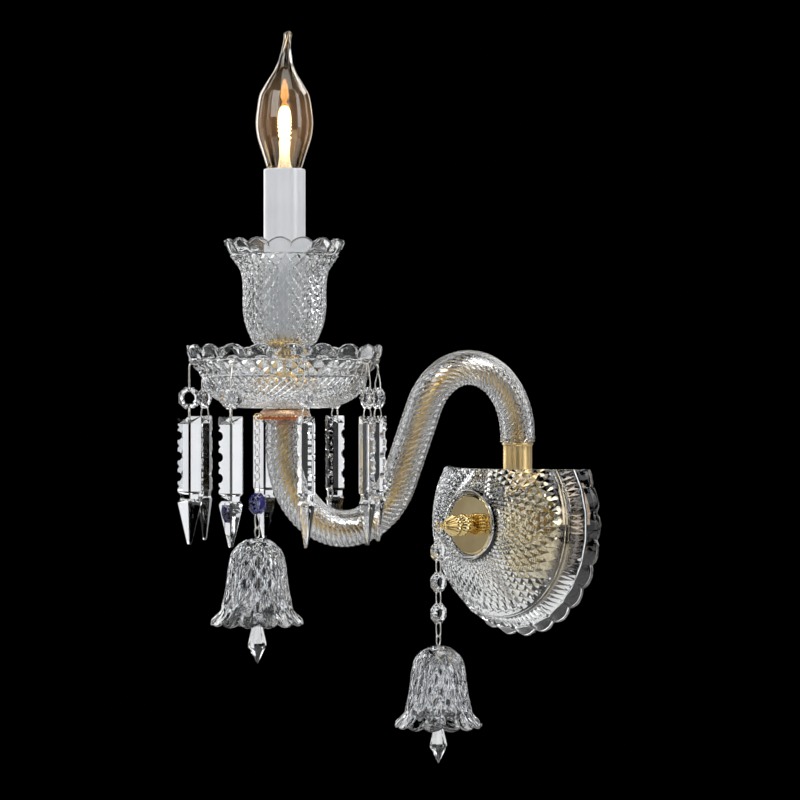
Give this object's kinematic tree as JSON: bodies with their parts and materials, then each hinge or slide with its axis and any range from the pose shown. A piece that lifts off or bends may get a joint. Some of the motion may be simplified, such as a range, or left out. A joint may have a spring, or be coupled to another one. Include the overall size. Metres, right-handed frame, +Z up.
{
  "type": "wall sconce",
  "caption": "Crystal wall sconce: twisted glass arm rising from a scalloped glass half bowl to a candle in a cut glass cup and tray, hung with spear prisms and glass bells",
  "frame": {"origin": "middle of the two wall screw holes, on the wall plane, on the axis of the half bowl", "axes": "+Y into the wall, along the wall screws and the centre rod; +Z up, along the candle; +X to the right seen from the room"},
  "size_m": [0.15, 0.2776, 0.4574],
  "materials": {
    "cut_glass": "clear lead crystal, cut and polished",
    "rope_glass": "clear glass, twisted rope ridges",
    "bead_glass": "clear glass, machine cut",
    "bulb_glass": "clear thin glass",
    "gold": "polished gold plate",
    "gold_mirror": "mirror polished gold plate",
    "pale_gold": "satin pale gold",
    "gold_wire": "bright gold plated wire",
    "steel": "zinc plated steel",
    "white_sleeve": "satin white",
    "holder_plastic": "dark moulded plastic",
    "contact_brass": "plain",
    "nickel": "nickel plated, threaded",
    "filament": "tungsten wire"
  },
  "bodies": {
    "wall_and_arm": {"wall_bracket": "steel", "back_pan": "pale_gold", "centre_rod": "steel", "half_bowl": "cut_glass", "rosette_disc": "gold_mirror", "finial_knob": "gold", "fasteners": "steel", "arm_post": "gold", "arm_glass": "rope_glass", "arm_core": "gold", "arm_cap": "gold", "candle_tray": "cut_glass", "cup_spacer": "gold", "candle_cup": "cut_glass", "cup_nut": "gold", "candle_sleeve": "white_sleeve", "lampholder": "holder_plastic", "lamp_contacts": "contact_brass"},
    "bulb": {"bulb_glass": "bulb_glass", "bulb_cap": "nickel", "bulb_filament": "filament"},
    "pendant_1": {"pendant_1_hook": "gold_wire", "pendant_1_bead": "bead_glass"},
    "prism_1": {"pendant_1_prism": "cut_glass"},
    "pendant_2": {"pendant_2_hook": "gold_wire", "pendant_2_bead": "bead_glass"},
    "prism_2": {"pendant_2_prism": "cut_glass"},
    "pendant_3": {"pendant_3_hook": "gold_wire", "pendant_3_bead": "bead_glass"},
    "prism_3": {"pendant_3_prism": "cut_glass"},
    "pendant_4": {"pendant_4_hook": "gold_wire", "pendant_4_bead": "bead_glass"},
    "prism_4": {"pendant_4_prism": "cut_glass"},
    "pendant_5": {"pendant_5_hook": "gold_wire", "pendant_5_bead": "bead_glass"},
    "prism_5": {"pendant_5_prism": "cut_glass"},
    "pendant_6": {"pendant_6_hook": "gold_wire", "pendant_6_bead": "bead_glass"},
    "prism_6": {"pendant_6_prism": "cut_glass"},
    "pendant_7": {"pendant_7_hook": "gold_wire", "pendant_7_bead": "bead_glass"},
    "prism_7": {"pendant_7_prism": "cut_glass"},
    "pendant_8": {"pendant_8_hook": "gold_wire", "pendant_8_bead": "bead_glass"},
    "prism_8": {"pendant_8_prism": "cut_glass"},
    "front_chain": {"front_chain": "gold_wire", "front_chain_bead": "bead_glass"},
    "front_bell": {"front_bell": "cut_glass", "front_bell_wire": "gold_wire"},
    "front_clapper": {"front_clapper": "cut_glass"},
    "rear_link_1": {"rear_link_1": "gold_wire", "rear_bead_1": "bead_glass"},
    "rear_link_2": {"rear_link_2": "gold_wire", "rear_bead_2": "bead_glass"},
    "rear_link_3": {"rear_link_3": "gold_wire", "rear_bead_3": "bead_glass"},
    "rear_bell": {"rear_bell": "cut_glass", "rear_bell_wire": "gold_wire"},
    "rear_clapper": {"rear_clapper": "cut_glass"}
  },
  "joints": [
    {"name": "bulb_out", "type": "slide", "parent": "wall_and_arm", "child": "bulb", "axis": [0, 0, 1], "range_m": [0, 0.04]},
    {"name": "pendant_1_swing", "type": "hinge", "parent": "wall_and_arm", "child": "pendant_1", "pos_m": [0.05205, -0.2001, 0.10281], "axis": [0.9563, 0.2924, 0], "range_deg": [-10, 10]},
    {"name": "prism_1_swing", "type": "hinge", "parent": "pendant_1", "child": "prism_1", "pos_m": [0.05604, -0.19888, 0.06821], "axis": [0.682, 0.7314, 0], "range_deg": [-12, 12]},
    {"name": "pendant_2_swing", "type": "hinge", "parent": "wall_and_arm", "child": "pendant_2", "pos_m": [0.02555, -0.16796, 0.10281], "axis": [0.4695, 0.8829, 0], "range_deg": [-10, 2]},
    {"name": "prism_2_swing", "type": "hinge", "parent": "pendant_2", "child": "prism_2", "pos_m": [0.02751, -0.16428, 0.06821], "axis": [0.682, 0.7314, 0], "range_deg": [-12, 3]},
    {"name": "pendant_3_swing", "type": "hinge", "parent": "wall_and_arm", "child": "pendant_3", "pos_m": [-0.01591, -0.16397, 0.10281], "axis": [-0.2924, 0.9563, 0], "range_deg": [0, 10]},
    {"name": "prism_3_swing", "type": "hinge", "parent": "pendant_3", "child": "prism_3", "pos_m": [-0.01713, -0.15998, 0.06821], "axis": [-1, 0, 0], "range_deg": [-12, 12]},
    {"name": "pendant_4_swing", "type": "hinge", "parent": "wall_and_arm", "child": "pendant_4", "pos_m": [-0.04805, -0.19046, 0.10281], "axis": [-0.8829, 0.4695, 0], "range_deg": [-10, 10]},
    {"name": "prism_4_swing", "type": "hinge", "parent": "pendant_4", "child": "prism_4", "pos_m": [-0.05174, -0.18851, 0.06821], "axis": [-0.7314, 0.682, 0], "range_deg": [-12, 12]},
    {"name": "pendant_5_swing", "type": "hinge", "parent": "wall_and_arm", "child": "pendant_5", "pos_m": [-0.05205, -0.23193, 0.10281], "axis": [-0.9563, -0.2924, 0], "range_deg": [-10, 10]},
    {"name": "prism_5_swing", "type": "hinge", "parent": "pendant_5", "child": "prism_5", "pos_m": [-0.05604, -0.23315, 0.06821], "axis": [-0.682, -0.7314, 0], "range_deg": [-12, 12]},
    {"name": "pendant_6_swing", "type": "hinge", "parent": "wall_and_arm", "child": "pendant_6", "pos_m": [-0.02555, -0.26407, 0.10281], "axis": [-0.4695, -0.8829, 0], "range_deg": [-10, 10]},
    {"name": "prism_6_swing", "type": "hinge", "parent": "pendant_6", "child": "prism_6", "pos_m": [-0.02751, -0.26776, 0.06821], "axis": [0.7314, -0.682, 0], "range_deg": [-12, 12]},
    {"name": "pendant_7_swing", "type": "hinge", "parent": "wall_and_arm", "child": "pendant_7", "pos_m": [0.01591, -0.26806, 0.10281], "axis": [0.2924, -0.9563, 0], "range_deg": [-10, 10]},
    {"name": "prism_7_swing", "type": "hinge", "parent": "pendant_7", "child": "prism_7", "pos_m": [0.01713, -0.27205, 0.06821], "axis": [-0.682, -0.7314, 0], "range_deg": [-12, 12]},
    {"name": "pendant_8_swing", "type": "hinge", "parent": "wall_and_arm", "child": "pendant_8", "pos_m": [0.04805, -0.24157, 0.10281], "axis": [0.8829, -0.4695, 0], "range_deg": [-10, 10]},
    {"name": "prism_8_swing", "type": "hinge", "parent": "pendant_8", "child": "prism_8", "pos_m": [0.05174, -0.24353, 0.06821], "axis": [0.7314, -0.682, 0], "range_deg": [-12, 12]},
    {"name": "front_chain_swing", "type": "hinge", "parent": "wall_and_arm", "child": "front_chain", "pos_m": [0, -0.23762, 0.06953], "axis": [1, 0, 0], "range_deg": [-15, 8]},
    {"name": "front_bell_swing", "type": "hinge", "parent": "front_chain", "child": "front_bell", "pos_m": [0, -0.23762, 0.01353], "axis": [1, 0, 0], "range_deg": [-10, 10]},
    {"name": "front_clapper_swing", "type": "hinge", "parent": "front_bell", "child": "front_clapper", "pos_m": [0, -0.23762, -0.04452], "axis": [1, 0, 0], "range_deg": [-20, 20]},
    {"name": "rear_link_1_swing", "type": "hinge", "parent": "wall_and_arm", "child": "rear_link_1", "pos_m": [0, -0.0862, -0.00108], "axis": [1, 0, 0], "range_deg": [-20, 10]},
    {"name": "rear_link_2_swing", "type": "hinge", "parent": "rear_link_1", "child": "rear_link_2", "pos_m": [0, -0.0862, -0.02108], "axis": [1, 0, 0], "range_deg": [-8, 8]},
    {"name": "rear_link_3_swing", "type": "hinge", "parent": "rear_link_2", "child": "rear_link_3", "pos_m": [0, -0.0862, -0.04108], "axis": [1, 0, 0], "range_deg": [-8, 8]},
    {"name": "rear_bell_swing", "type": "hinge", "parent": "rear_link_3", "child": "rear_bell", "pos_m": [0, -0.0862, -0.06108], "axis": [1, 0, 0], "range_deg": [-8, 8]},
    {"name": "rear_clapper_swing", "type": "hinge", "parent": "rear_bell", "child": "rear_clapper", "pos_m": [0, -0.0862, -0.11913], "axis": [1, 0, 0], "range_deg": [-20, 20]}
  ]
}
